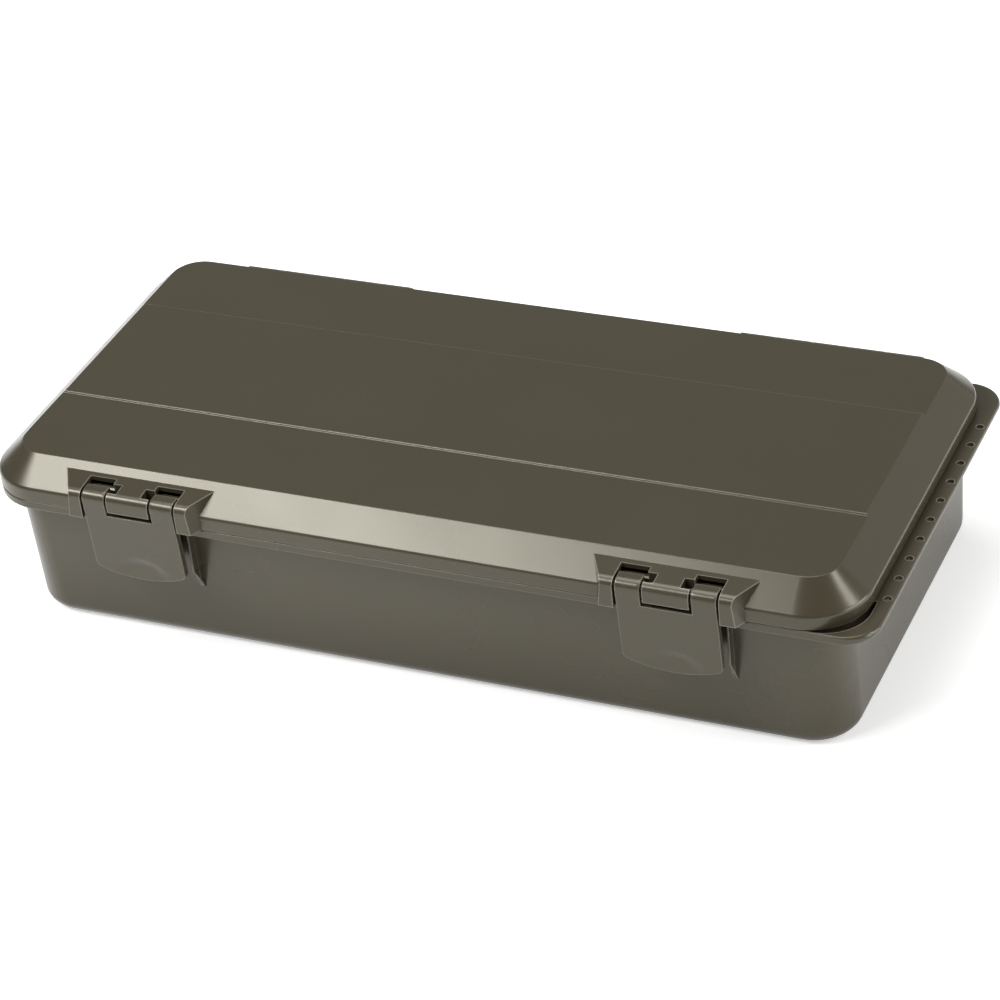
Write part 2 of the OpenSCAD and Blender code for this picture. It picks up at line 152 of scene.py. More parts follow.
def mapRange(tree, value, fromMin, fromMax, toMin, toMax):
    node = tree.nodes.new("ShaderNodeMapRange")
    ends = {"From Min": fromMin, "From Max": fromMax, "To Min": toMin, "To Max": toMax}
    for key, v in ends.items():
        node.inputs[key].default_value = v
    tree.links.new(value, node.inputs["Value"])
    return node.outputs[0]


def floorMaterial(f):
    mat = bpy.data.materials.new("paleFloor")
    mat.use_nodes = True
    tree = mat.node_tree
    nodes, links = tree.nodes, tree.links
    shader = nodes["Principled BSDF"]
    shader.inputs["Base Color"].default_value = (f["grey"], f["grey"], f["grey"], 1)
    shader.inputs["Roughness"].default_value = f["roughness"]
    shader.inputs["Specular IOR Level"].default_value = 0
    spot = nodes.new("ShaderNodeTexCoord").outputs["Object"]
    split = nodes.new("ShaderNodeSeparateXYZ")
    links.new(spot, split.inputs[0])
    reach = nodes.new("ShaderNodeVectorMath")
    reach.operation = "LENGTH"
    links.new(spot, reach.inputs[0])
    path = nodes.new("ShaderNodeLightPath")
    byCamera, inMirror = path.outputs["Is Camera Ray"], path.outputs["Is Glossy Ray"]
    far = mapRange(tree, reach.outputs["Value"], f["farFrom"], f["farTo"], 0, f["farGlow"])
    glow = nodes.new("ShaderNodeEmission")
    links.new(mathNode(tree, "ADD", mathNode(tree, "MULTIPLY", byCamera, far), f["glow"]),
              glow.inputs["Strength"])
    fall = mapRange(tree, split.outputs["X"], *f["dimFrom"], 1, f["dimLevel"])
    rise = mapRange(tree, split.outputs["X"], *f["dimTo"], f["dimLevel"], 1)
    mirrored = mathNode(tree, "MULTIPLY", inMirror, mathNode(tree, "MAXIMUM", fall, rise))
    add = nodes.new("ShaderNodeAddShader")
    mix = nodes.new("ShaderNodeMixShader")
    links.new(shader.outputs[0], add.inputs[0])
    links.new(glow.outputs[0], add.inputs[1])
    links.new(mathNode(tree, "MAXIMUM", byCamera, mirrored), mix.inputs[0])
    links.new(shader.outputs[0], mix.inputs[1])
    links.new(add.outputs[0], mix.inputs[2])
    links.new(mix.outputs[0], nodes["Material Output"].inputs[0])
    return mat


def studioFloor(f):
    mesh = bpy.data.meshes.new("floor")
    s = f["half"]
    mesh.from_pydata([(-s, -s, 0), (s, -s, 0), (s, s, 0), (-s, s, 0)], [], [(0, 1, 2, 3)])
    floor = bpy.data.objects.new("floor", mesh)
    floor.location.z = f["top"]
    bpy.context.scene.collection.objects.link(floor)
    mesh.materials.append(floorMaterial(f))


studioFloor(floorLook)
bpy.context.scene.view_settings.view_transform = "Standard"
print("studio ready")

# finishes


def newGroup(name, ins, outs):
    tree = bpy.data.node_groups.new(name, "ShaderNodeTree")
    for n, default in ins:
        socket = tree.interface.new_socket(n, in_out="INPUT", socket_type="NodeSocketFloat")
        socket.default_value = default
    for n in outs:
        tree.interface.new_socket(n, in_out="OUTPUT", socket_type="NodeSocketFloat")
    return tree, tree.nodes.new("NodeGroupInput"), tree.nodes.new("NodeGroupOutput")


def grainGroup():
    # fine spark-eroded grain, with a slow drift in gloss over it
    tree, gin, gout = newGroup("mouldedGrain", [("Grain per mm", 3.0), ("Drift per mm", 0.02)],
                               ["Height", "Gloss drift", "Tone drift"])
    coords = tree.nodes.new("ShaderNodeTexCoord")
    fine = tree.nodes.new("ShaderNodeTexNoise")
    slow = tree.nodes.new("ShaderNodeTexNoise")
    fine.inputs["Detail"].default_value = 2
    slow.inputs["Detail"].default_value = 3
    for node, key in ((fine, "Grain per mm"), (slow, "Drift per mm")):
        tree.links.new(coords.outputs["Object"], node.inputs["Vector"])
        tree.links.new(mathNode(tree, "MULTIPLY", gin.outputs[key], 1 / mm), node.inputs["Scale"])
    tree.links.new(fine.outputs["Fac"], gout.inputs["Height"])
    tree.links.new(mathNode(tree, "SUBTRACT", slow.outputs["Fac"], 0.5), gout.inputs["Gloss drift"])
    fineShare = 0.3     # of the tone, the rest drifts slowly
    mixed = mathNode(tree, "ADD", mathNode(tree, "MULTIPLY", fine.outputs["Fac"], fineShare),
                     mathNode(tree, "MULTIPLY", slow.outputs["Fac"], 1 - fineShare))
    tree.links.new(mixed, gout.inputs["Tone drift"])
    return tree


def edgeHighlightGroup():
    # painted highlight along edges: lighter colour where a rounded copy of the normal leaves the
    # true one, on edges that stand out
    ins = [("Width", 0.0006), ("Gain", 20.0), ("Proud from", 0.505), ("Proud gain", 60.0)]
    tree, gin, gout = newGroup("paintedEdgeHighlight", ins, ["Mask"])
    geo = tree.nodes.new("ShaderNodeNewGeometry")
    rounded = tree.nodes.new("ShaderNodeBevel")
    rounded.samples = 6
    tree.links.new(gin.outputs["Width"], rounded.inputs["Radius"])
    dot = tree.nodes.new("ShaderNodeVectorMath")
    dot.operation = "DOT_PRODUCT"
    tree.links.new(geo.outputs["Normal"], dot.inputs[0])
    tree.links.new(rounded.outputs[0], dot.inputs[1])
    away = mathNode(tree, "SUBTRACT", 1.0, dot.outputs["Value"], clamp=True)
    sharp = mathNode(tree, "MULTIPLY", away, gin.outputs["Gain"], clamp=True)
    proud = mathNode(tree, "SUBTRACT", geo.outputs["Pointiness"], gin.outputs["Proud from"])
    proud = mathNode(tree, "MULTIPLY", proud, gin.outputs["Proud gain"], clamp=True)
    tree.links.new(mathNode(tree, "MULTIPLY", sharp, proud), gout.inputs["Mask"])
    return tree


grain = grainGroup()
edgeHighlight = edgeHighlightGroup()


def useGroup(tree, group, **values):
    node = tree.nodes.new("ShaderNodeGroup")
    node.node_tree = group
    for k, v in values.items():
        node.inputs[k.replace("_", " ")].default_value = v
    return node


def colourMix(tree, factor, a, b):
    node = tree.nodes.new("ShaderNodeMix")
    node.data_type = "RGBA"
    for key, v in ((0, factor), (6, a), (7, b)):
        if isinstance(v, (int, float)):
            node.inputs[key].default_value = v
        elif isinstance(v, tuple):
            node.inputs[key].default_value = (*v, 1)
        else:
            tree.links.new(v, node.inputs[key])
    return node.outputs[2]


moulding = {
    "drift": 0.018,             # gloss drifts per mm
    "glossSpread": 0.12, "grainDeep": 0.00004,
    "highlightWidth": 0.0006, "highlightGain": 20.0, "highlightShare": 0.8,
    "ior": 1.57, "shine": (1.0, 0.975, 0.84, 1),
}
# each finish's pale edge colour is a painted highlight along its edges
finishes = {
    "oliveShell": {"dark": (0.047, 0.040, 0.0245), "pale": (0.053, 0.045, 0.0275),
                   "highlightColour": (0.30, 0.28, 0.23), "roughness": 0.26, "bump": 0.2, "grains": 2.5},
    "oliveDivider": {"dark": (0.072, 0.063, 0.042), "pale": (0.084, 0.074, 0.050),
                     "highlightColour": (0.24, 0.22, 0.17), "roughness": 0.4, "bump": 0.3, "grains": 2.0},
}


def mouldedPlastic(name, dark, pale, highlightColour, roughness, bump, grains):
    m = moulding
    mat = bpy.data.materials.new(name)
    mat.use_nodes = True
    tree = mat.node_tree
    shader = tree.nodes["Principled BSDF"]
    g = useGroup(tree, grain, Grain_per_mm=grains, Drift_per_mm=m["drift"])
    w = useGroup(tree, edgeHighlight, Width=m["highlightWidth"], Gain=m["highlightGain"])
    base = colourMix(tree, g.outputs["Tone drift"], dark, pale)
    # painted highlight: sharp, proud edges are mixed towards a pale colour
    paintedHighlight = mathNode(tree, "MULTIPLY", w.outputs["Mask"], m["highlightShare"])
    tree.links.new(colourMix(tree, paintedHighlight, base, highlightColour), shader.inputs["Base Color"])
    spread = mathNode(tree, "MULTIPLY", g.outputs["Gloss drift"], m["glossSpread"])
    tree.links.new(mathNode(tree, "ADD", spread, roughness), shader.inputs["Roughness"])
    shader.inputs["IOR"].default_value = m["ior"]
    shader.inputs["Specular Tint"].default_value = m["shine"]
    bumpNode = tree.nodes.new("ShaderNodeBump")
    bumpNode.inputs["Strength"].default_value = bump
    bumpNode.inputs["Distance"].default_value = m["grainDeep"]
    tree.links.new(g.outputs["Height"], bumpNode.inputs["Height"])
    tree.links.new(bumpNode.outputs[0], shader.inputs["Normal"])
    return mat


# the steel's tones are darkened as painted shade, so the pins read as dark as the shade in the
# latch notches
darkenedSteel = {"pale": (0.16, 0.16, 0.15), "dark": (0.128, 0.128, 0.12), "streaks": (60, 6000, 6000),
         "roughness": 0.38, "spread": 0.2}      # streaks run along the pins


def drawnSteel(name, s):
    mat = bpy.data.materials.new(name)
    mat.use_nodes = True
    tree = mat.node_tree
    shader = tree.nodes["Principled BSDF"]
    coords = tree.nodes.new("ShaderNodeTexCoord")
    stretch = tree.nodes.new("ShaderNodeMapping")
    stretch.inputs["Scale"].default_value = s["streaks"]
    streak = tree.nodes.new("ShaderNodeTexNoise")
    streak.inputs["Scale"].default_value = 1
    tree.links.new(coords.outputs["Object"], stretch.inputs["Vector"])
    tree.links.new(stretch.outputs[0], streak.inputs["Vector"])
    tone = streak.outputs["Fac"]
    tree.links.new(colourMix(tree, tone, s["dark"], s["pale"]), shader.inputs["Base Color"])
    rough = mathNode(tree, "ADD", mathNode(tree, "MULTIPLY", tone, s["spread"]), s["roughness"])
    tree.links.new(rough, shader.inputs["Roughness"])
    shader.inputs["Metallic"].default_value = 1
    return mat


oliveShell, oliveDivider = (mouldedPlastic(name, **look) for name, look in finishes.items())
pinSteel = drawnSteel("pinSteel", darkenedSteel)
print("finishes ready")

# tools for making meshes


def addMesh(name, verts, faces):
    mesh = bpy.data.meshes.new(name)
    mesh.from_pydata([Vector(v) * mm for v in verts], [], faces)
    obj = bpy.data.objects.new(name, mesh)
    bpy.context.scene.collection.objects.link(obj)
    bm = bmesh.new()
    bm.from_mesh(mesh)
    bmesh.ops.remove_doubles(bm, verts=bm.verts, dist=1e-6)
    bmesh.ops.recalc_face_normals(bm, faces=bm.faces)
    bm.to_mesh(mesh)
    bm.free()
    return obj


def applyAll(obj):
    graph = bpy.context.evaluated_depsgraph_get()
    mesh = bpy.data.meshes.new_from_object(obj.evaluated_get(graph))
    obj.modifiers.clear()
    obj.data = mesh
    return obj


def dropObject(obj):
    bpy.data.objects.remove(obj, do_unlink=True)


def combine(obj, others, operation):
    for other in others:
        mod = obj.modifiers.new("cut", "BOOLEAN")
        mod.object = other
        mod.operation = operation
        mod.solver = "MANIFOLD"
        applyAll(obj)
        dropObject(other)
    return obj


def joinMeshes(name, objs):
    bm = bmesh.new()
    for o in objs:
        bm.from_mesh(o.data)
    mesh = bpy.data.meshes.new(name)
    bm.to_mesh(mesh)
    bm.free()
    for o in objs:
        dropObject(o)
    obj = bpy.data.objects.new(name, mesh)
    bpy.context.scene.collection.objects.link(obj)
    return obj


edgeLook = {"crease": 40, "flatWeight": 80}     # degrees, and how far the flats set the shading
past = 1        # mm that a cutter runs past what it cuts


def soften(obj, width, segments=2, angle=35):
    # rounds the sharp edges and keeps the flats flat
    if width:
        mod = obj.modifiers.new("edges", "BEVEL")
        mod.width = width * mm
        mod.segments = segments
        mod.limit_method = "ANGLE"
        mod.angle_limit = math.radians(angle)
        mod.miter_outer = "MITER_ARC"
        mod.use_clamp_overlap = True
        applyAll(obj)
    obj.data.polygons.foreach_set("use_smooth", [True] * len(obj.data.polygons))
    obj.data.set_sharp_from_angle(angle=math.radians(edgeLook["crease"]))
    mod = obj.modifiers.new("normals", "WEIGHTED_NORMAL")
    mod.keep_sharp = True
    mod.weight = edgeLook["flatWeight"]
    applyAll(obj)
    return obj


def finishPiece(obj, material, body, nodes=()):
    obj.data.materials.clear()
    obj.data.materials.append(material)
    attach(obj, body)
    if nodes:
        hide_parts(*nodes)
    return obj


# a closed outline of a rounded rectangle; every outline made with the same counts can be lofted
def outline(x0, x1, y0, y1, left, right, z, steps=14, sideYs=()):
    pts = []

    def arc(cx, cy, r, start):
        for k in range(steps + 1):
            a = math.radians(start + 90 * k / steps)
            pts.append((cx + r * math.cos(a), cy + r * math.sin(a), z))

    arc(x1 - right, y0 + right, right, -90)
    pts.extend((x1, y, z) for y in sideYs)
    arc(x1 - right, y1 - right, right, 0)
    arc(x0 + left, y1 - left, left, 90)
    pts.extend((x0, y, z) for y in reversed(sideYs))
    arc(x0 + left, y0 + left, left, 180)
    return pts


# joins outlines into a closed skin; "loop" makes a tube of it, else strips close both ends
def loft(name, rings, loop=False):
    n = len(rings[0])
    last = len(rings) - 1
    verts = [p for r in rings for p in r]
    pairs = [(i, i + 1) for i in range(last)]
    if loop:
        pairs.append((last, 0))
    faces = []
    for a, b in pairs:
        for k in range(n):
            j = (k + 1) % n
            faces.append((a * n + k, a * n + j, b * n + j, b * n + k))
    if not loop:
        for a in (0, last):
            for k in range(n // 2 - 1):
                faces.append((a * n + k, a * n + k + 1, a * n + n - 2 - k, a * n + n - 1 - k))
    return addMesh(name, verts, faces)


# a side view (y, z) stretched along X; shift(y, z, end) can slant either end
def sideSolid(name, profile, x0, x1, shift=None):
    n = len(profile)
    verts = []
    for end, x in ((-1, x0), (1, x1)):
        for y, z in profile:
            verts.append((x + (shift(y, z, end) if shift else 0), y, z))
    faces = [(k, (k + 1) % n, n + (k + 1) % n, n + k) for k in range(n)]
    faces += [tuple(range(n)), tuple(range(n, 2 * n))]
    return addMesh(name, verts, faces)


def block(name, x0, x1, y0, y1, z0, z1):
    return sideSolid(name, [(y0, z0), (y1, z0), (y1, z1), (y0, z1)], x0, x1)


def rod(name, x0, x1, y, z, r, steps=48):
    ring = [(y + r * math.cos(2 * math.pi * k / steps), z + r * math.sin(2 * math.pi * k / steps))
            for k in range(steps)]
    return sideSolid(name, ring, x0, x1)


def span(cx, side, near, far):
    # from near to far of the centre, on the left (-1) or the right (1)
    return sorted((cx + side * near, cx + side * far))


def arcPoints(cy, cz, r, a0, a1, steps):
    return [(cy + r * math.cos(math.radians(a0 + (a1 - a0) * k / steps)),
             cz + r * math.sin(math.radians(a0 + (a1 - a0) * k / steps))) for k in range(steps + 1)]


# places that several pieces share, in mm

seam = {"lidUnder": 59.3, "rimTop": 59.0, "rimUnder": 55.7}
pins = {"latchX": (-108.4, 108.8), "latchY": -86.1, "latchZ": 67.7,
        "hingeX": (-108.8, 110.4), "hingeY": 90.0, "hingeZ": 60.6}

# lid, in mm; an inset is measured inwards from the outline

lidSizes = {
    "halfLength": 177.0, "halfDepth": 85.0, "corner": 23.0, "wall": 2.2, "lip": 0.4,
    "slopeStart": 64.8, "slopeIn": 11.0, "slopeUp": 9.8,
    "underRound": 2.4,      # rounding between the upright rim and the slope
    "topRound": 0.5,        # rounding between the slope and the top
    "band": (-32.7, 36.3), "bandUp": 0.7,
    "bandRows": (-0.3, 0.0, 0.12, 0.24, 0.35, 0.46, 0.58, 0.7, 1.0),    # over its soft edge
}


def bandLift(y):
    lo, hi = lidSizes["band"]
    up = lidSizes["bandUp"]
    t = min(y - lo, hi - y) / up
    t = max(0.0, min(1.0, t))
    return up * t * t * (3 - 2 * t)


def lidRing(inset, z, lifted, sideYs):
    s = lidSizes
    slope = s["slopeUp"] / s["slopeIn"]
    x, y = s["halfLength"] - inset, s["halfDepth"] - inset
    r = s["corner"] - inset
    pts = outline(-x, x, -y, y, r, r, z, 18, sideYs)
    if not lifted:
        return pts
    out = []
    for px, py, pz in pts:
        up = bandLift(py) * lifted
        out.append((px - math.copysign(up / slope, px), py, pz + up))
    return out


def roundedCorner(before, corner, after, radius, steps):
    # points that round a corner of an (inset, z) profile
    a, c, b = Vector(before), Vector(corner), Vector(after)
    u, v = (a - c).normalized(), (b - c).normalized()
    half = u.angle(v) / 2
    reach = radius / math.tan(half)
    centre = c + (u + v).normalized() * (radius / math.sin(half))
    start, end = c + u * reach - centre, c + v * reach - centre
    total = start.angle_signed(end)
    pts = []
    for k in range(steps + 1):
        t = -total * k / steps
        pts.append(centre + Vector((start.x * math.cos(t) - start.y * math.sin(t),
                                    start.x * math.sin(t) + start.y * math.cos(t))))
    return [tuple(p) for p in pts]


def makeLid():
    s = lidSizes
    lo, hi = s["band"]
    sideYs = [lo + d for d in s["bandRows"]] + [0.0] + [hi - d for d in reversed(s["bandRows"])]
    start, topZ, under = s["slopeStart"], s["slopeStart"] + s["slopeUp"], seam["lidUnder"]
    slope = s["slopeUp"] / s["slopeIn"]
    lip, wall = s["lip"], s["wall"]
    # the third value says how much of the band's step a point takes
    profile = [(lip, under, 0), (lip * 0.3, under + lip * 0.25, 0), (0.0, under + lip, 0)]
    low = roundedCorner((0, under), (0, start), (s["slopeIn"], topZ), s["underRound"], 10)
    high = roundedCorner((0, start), (s["slopeIn"], topZ), (s["halfDepth"], topZ), s["topRound"], 5)
    profile += [(inset, z, 0) for inset, z in low] + [(inset, z, 1) for inset, z in high]
    outer = [lidRing(inset, z, lifted, sideYs) for inset, z, lifted in profile]
    drop = wall * (math.sqrt(1 + slope * slope) - slope)
    innerUp = s["slopeUp"] - wall + drop
    inside = [(wall + innerUp / slope, topZ - wall), (wall, start - drop),
              (wall, under + lip / 2), (wall - lip / 2, under)]
    inner = [lidRing(inset, z, 0, sideYs) for inset, z in inside]
    return loft("lidShell", inner + outer)


# latch housings on the lid, in mm; a y, z pair is a point of the side view

housing = {
    "barrel": 3.6, "middleHalf": 8.85, "slotOuter": 20.2, "foot": 59.3, "footBack": -84.0,
    "middleFoot": 63.7, "middleBack": -85.0,
    # half width at the front and flare per mm, at two heights
    "cheekLow": (26.0, 0.49), "cheekHigh": (24.6, 0.56), "cheekFrom": 60, "cheekSpan": 11.5,
    "topBack": (-76.1, 72.2), "inLid": ((-78.2, 69.5), (-83.6, 64.6)), "slotBack": -79.1,
    "notchWidth": 3.7, "notchBack": -81.9, "notchFront": -87.15, "notchDown": 1.0, "edge": 0.22,
    "pocket": 4.96, "pocketUp": 1,      # radius that the latch knuckles turn in, and its mouth
}
boss = {"radius": 6.5, "from": -57, "to": -8, "low": (-83.4, 62.3), "top": (-79.9, 68.0),
        "front": (-83.4, 64.4), "past": 1.5}
beyond = {"front": -100, "below": 50, "above": 80}      # cutters end out here


def makeHousing(cx):
    h = housing
    y, z = pins["latchY"], pins["latchZ"]
    front = y - h["barrel"]
    profile = [(h["footBack"], h["foot"]), (front, h["foot"])]
    profile += arcPoints(y, z, h["barrel"], 180, 90, 16) + [h["topBack"], *h["inLid"]]

    def cheek(py, pz, end):
        t = (pz - h["cheekFrom"]) / h["cheekSpan"]
        wide = [a + b * (py - front) for a, b in (h["cheekLow"], h["cheekHigh"])]
        return end * (wide[0] + (wide[1] - wide[0]) * t)

    body = sideSolid("housing", profile, cx, cx, cheek)
    half, slot = h["middleHalf"], h["slotOuter"]
    cuts = [block("c", cx - slot, cx + slot, beyond["front"], h["middleBack"],
                  beyond["below"], h["middleFoot"])]
    for side in (-1, 1):
        cuts.append(block("c", *span(cx, side, half, slot), beyond["front"], h["slotBack"],
                          beyond["below"], beyond["above"]))
        cuts.append(block("c", *span(cx, side, half - h["notchWidth"], half + past),
                          h["notchFront"], h["notchBack"], z - h["notchDown"], beyond["above"]))
    combine(body, cuts, "DIFFERENCE")
    return soften(body, h["edge"])


def makePocketCutters(cx):
    h = housing
    y, z = pins["latchY"], pins["latchZ"]
    out = []
    for side in (-1, 1):
        xa, xb = span(cx, side, h["middleHalf"], h["slotOuter"])
        out.append(rod("c", xa, xb, y, z, h["pocket"]))
        out.append(block("c", xa, xb, beyond["front"], h["slotBack"],
                         z + h["pocketUp"], beyond["above"]))
    return out


def makeBoss(cx):
    # closes the pockets from inside the lid
    b = boss
    half = housing["slotOuter"] + b["past"]
    arc = arcPoints(pins["latchY"], pins["latchZ"], b["radius"], b["from"], b["to"], 10)
    return sideSolid("boss", [b["low"], *arc, b["top"], b["front"]], cx - half, cx + half)


lidShell = makeLid()
combine(lidShell, [makeBoss(cx) for cx in pins["latchX"]], "UNION")
combine(lidShell, [c for cx in pins["latchX"] for c in makePocketCutters(cx)], "DIFFERENCE")
soften(lidShell, 0)
finishPiece(lidShell, oliveShell, "lid", ["lid"])
for side, cx in zip(("Left", "Right"), pins["latchX"]):
    finishPiece(makeHousing(cx), oliveShell, "lid").name = "latchHousing" + side
print("lid ready")

# latch plates, in mm; heights and depths are measured from the pin

latchSizes = {
    "half": 19.3, "inner": 9.75, "thick": 2.2, "lean": 2.4, "drop": 35.5, "bow": 4.3,
    "cornerRound": 1.2, "edge": 0.25, "smallEdge": 0.2,
    "endColumns": (0.8, 2.2), "sideColumns": 5, "middleColumns": 26,    # closer at the plate's ends
    "heel": 2.8, "barrel": 3.6, "window": 6.05, "windowRows": 4, "plateRows": 36,
    "coreIn": 0.15, "coreEnd": 0.12, "coreHeel": 0.2, "bore": 1.05,
    "flange": 1.8, "flangeIn": 0.15, "flangeTop": 7.4, "flangeSlope": 2, "flangeFront": 0.6,
    "flangeBack": 0.1, "flangeFoot": 1.6, "flangeRound": 1.6, "flangeUp": 0.1,
    "scoopWide": 12.25, "scoopHigh": 10.8, "scoopDeep": 0.95, "scoopShift": 0.8, "scoopRim": 1.9,
    "scoopLip": 0.35, "scoopLipGain": 1.6,      # share of the depth left at the plate's lower edge
    "catchTop": 12.3, "catchBack": 0.8, "catchHigh": 2.6, "catchIn": 1.2,
    "catchOut": 0.3, "catchRoot": 0.6, "catchLip": 1.0,
}


def plateEnd(x):
    s = latchSizes
    r = (s["half"] ** 2 + s["bow"] ** 2) / (2 * s["bow"])
    return -s["drop"] + r - math.sqrt(max(0.0, r * r - x * x))


def scoopDepth(x, z):
    # an arch with a crisp rim, shallower again towards the plate's lower edge
    s = latchSizes
    up = max(0.0, (z - plateEnd(x)) / s["scoopHigh"])
    high = max(0.0, (z + s["drop"]) / s["scoopHigh"])
    across = (x - s["scoopShift"]) / s["scoopWide"]
    rim = across * across + high * high
    if rim >= 1:
        return 0.0
    lipShare = s["scoopLip"] + (1 - s["scoopLip"]) * min(1.0, up * s["scoopLipGain"])
    return s["scoopDeep"] * min(1.0, (1 - rim) * s["scoopRim"]) * lipShare


def plateColumns():
    # the window's sides fall on columns
    s = latchSizes
    half, inner = s["half"], s["inner"]
    near, far = s["endColumns"]
    sides, across = s["sideColumns"], s["middleColumns"]
    left = [-half, -half + near, -half + far]
    left += [-half + far + (half - far - inner) * k / sides for k in range(1, sides)]
    middle = [-inner + 2 * inner * k / across for k in range(across)] + [inner]
    return left + middle + [-c for c in reversed(left)]


def plateSide(x):
    # side view at this place along the plate: heel, roll, then the plate down to its edge
    s = latchSizes
    low, edge, r = plateEnd(x), s["half"] - abs(x), s["cornerRound"]
    if edge < r:
        low += r - math.sqrt(max(0.0, r * r - (r - edge) ** 2))
    points = [(s["heel"], s["barrel"]), (s["heel"] / 2, s["barrel"])]
    points += arcPoints(0, 0, s["barrel"], 90, 180, 16)
    rows = s["plateRows"]
    zs = [-s["window"] * k / s["windowRows"] for k in range(s["windowRows"] + 1)]
    zs += [-s["window"] + (low + s["window"]) * k / rows for k in range(1, rows + 1)]
    return points + [(-s["barrel"] - s["lean"] * z / s["drop"] + scoopDepth(x, z), z) for z in zs]


def makePlate(cx):
    s = latchSizes
    y0, z0 = pins["latchY"], pins["latchZ"]
    columns = plateColumns()
    verts = [(cx + x, y0 + y, z0 + z) for x in columns for y, z in plateSide(x)]
    rows = len(verts) // len(columns)
    windowRow = rows - s["plateRows"] - 1
    faces = []
    for i in range(len(columns) - 1):
        a, b = i * rows, (i + 1) * rows
        inWindow = abs(columns[i] + columns[i + 1]) / 2 < s["inner"]
        for r in range(windowRow if inWindow else 0, rows - 1):
            faces.append((a + r, b + r, b + r + 1, a + r + 1))
    plate = addMesh("plate", verts, faces)
    bm = bmesh.new()
    bm.from_mesh(plate.data)
    bmesh.ops.delete(bm, geom=[v for v in bm.verts if not v.link_faces], context="VERTS")
    if sum(f.normal.y for f in bm.faces) > 0:
        bmesh.ops.reverse_faces(bm, faces=bm.faces)
    bm.to_mesh(plate.data)
    bm.free()
    mod = plate.modifiers.new("wall", "SOLIDIFY")
    mod.thickness = s["thick"] * mm
    mod.offset = -1
    mod.use_even_offset = True
    applyAll(plate)
    return soften(plate, s["edge"], 3, 50)


def makeKnuckleCore(cx, side):
    s = latchSizes
    y0, z0 = pins["latchY"], pins["latchZ"]
    r, heel = s["barrel"] - s["coreIn"], y0 + s["heel"] - s["coreHeel"]
    profile = arcPoints(y0, z0, r, 90, 360, 36) + [(heel, z0 + s["coreHeel"]), (heel, z0 + r)]
    xa, xb = span(cx, side, s["inner"] + s["coreEnd"], s["half"] - s["coreEnd"])
    core = sideSolid("core", profile, xa, xb)
    combine(core, [rod("c", xa - past, xb + past, y0, z0, s["bore"])], "DIFFERENCE")
    return soften(core, s["smallEdge"])


def makeFlange(cx, side):
    s = latchSizes
    y0, z0 = pins["latchY"], pins["latchZ"]
    top, foot = z0 - s["flangeTop"], z0 - s["drop"] + s["bow"] + s["flangeUp"]
    front, r = y0 - s["barrel"] + s["flangeFront"], s["flangeRound"]
    profile = [(front, top), (y0 + s["flangeBack"], top - s["flangeSlope"])]
    profile += arcPoints(y0 + s["flangeFoot"] - r, foot + r, r, 0, -90, 6)
    profile += [(front + s["lean"], foot)]
    outer = s["half"] - s["flangeIn"]
    xa, xb = span(cx, side, outer, outer - s["flange"])
    return soften(sideSolid("flange", profile, xa, xb), s["edge"])


def makeCatch(cx):
    s = latchSizes
    y0, lip = pins["latchY"], s["catchLip"]
    front, back = y0 - s["barrel"] + s["thick"] + s["catchOut"], y0 + s["catchBack"]
    root, top = front - s["catchRoot"], pins["latchZ"] - s["catchTop"]
    foot = top - s["catchHigh"] - lip
    profile = [(root, top), (back, top), (back, top - lip), (front, foot), (root, foot)]
    half = s["half"] - s["catchIn"]
    return soften(sideSolid("catch", profile, cx - half, cx + half), s["smallEdge"])


def makeLatch(name, cx):
    parts = [makePlate(cx)]
    for side in (-1, 1):
        parts += [makeKnuckleCore(cx, side), makeFlange(cx, side)]
    return joinMeshes(name, parts + [makeCatch(cx)])


for side, cx in zip(("left", "right"), pins["latchX"]):
    latch = makeLatch("latchPlate" + side.capitalize(), cx)
    finishPiece(latch, oliveShell, "latch_" + side, ["latch_" + side])
print("latches ready")

# tub, in mm

tubSizes = {
    "halfLength": 170.0, "front": -76.8, "back": 82.9, "foot": 6.0, "wall": 2.2,
    "cornerLow": 18.2, "cornerHigh": 13.8, "taper": 0.35, "top": 58.9, "rows": (20, 40),
    "outerEdge": 0.3, "innerEdge": 0.4,
}


def tubRing(inset, z):
    s = tubSizes
    lean = s["taper"] * (1 - z / s["top"])
    r = s["cornerLow"] + (s["cornerHigh"] - s["cornerLow"]) * z / s["top"]
    d = inset + lean
    return outline(-s["halfLength"] + d, s["halfLength"] - d, s["front"] + d, s["back"] - d,
                   r - inset, r - inset, z, 16)


def footRings(inset, radius, count):
    # rounding between the bottom and the wall
    rings = []
    for k in range(count + 1):
        a = math.radians(90 * k / count)
        across, up = radius * (1 - math.sin(a)), radius * (1 - math.cos(a))
        rings.append(tubRing(inset + across, inset + up))
    return rings


def makeTub():
    s = tubSizes
    wall, top, outer, inner = s["wall"], s["top"], s["outerEdge"], s["innerEdge"]
    rings = footRings(0, s["foot"], 8) + [tubRing(0, z) for z in (*s["rows"], top - outer)]
    rings += [tubRing(outer, top), tubRing(wall - inner, top)]
    rings += [tubRing(wall, z) for z in (top - inner, *reversed(s["rows"]))]
    rings += reversed(footRings(wall, s["foot"] - wall, 6))
    return soften(loft("tubShell", rings), 0)


# rim with the peg ledge, in mm

rimSizes = {
    "left": -177.0, "right": 183.5, "halfDepth": 85.0, "leftCorner": 23.0, "rightCorner": 12.5,
    "topRound": 0.6, "ledgeRound": 1.65, "underRound": 0.4, "ledgeUnder": 1.6,
    "holeX": 180.9, "holeRadius": 1.45, "holePitch": 12.7, "holes": 10, "holeShift": -1.0,
    "recessGap": 1.0, "recessCorner": 16.5, "recessDeep": 2.2, "recessLip": 0.8,
    "recessFrom": 158.5, "recessTo": -61.0, "overWall": 1, "innerCorner": 13, "edge": 0.22,
}


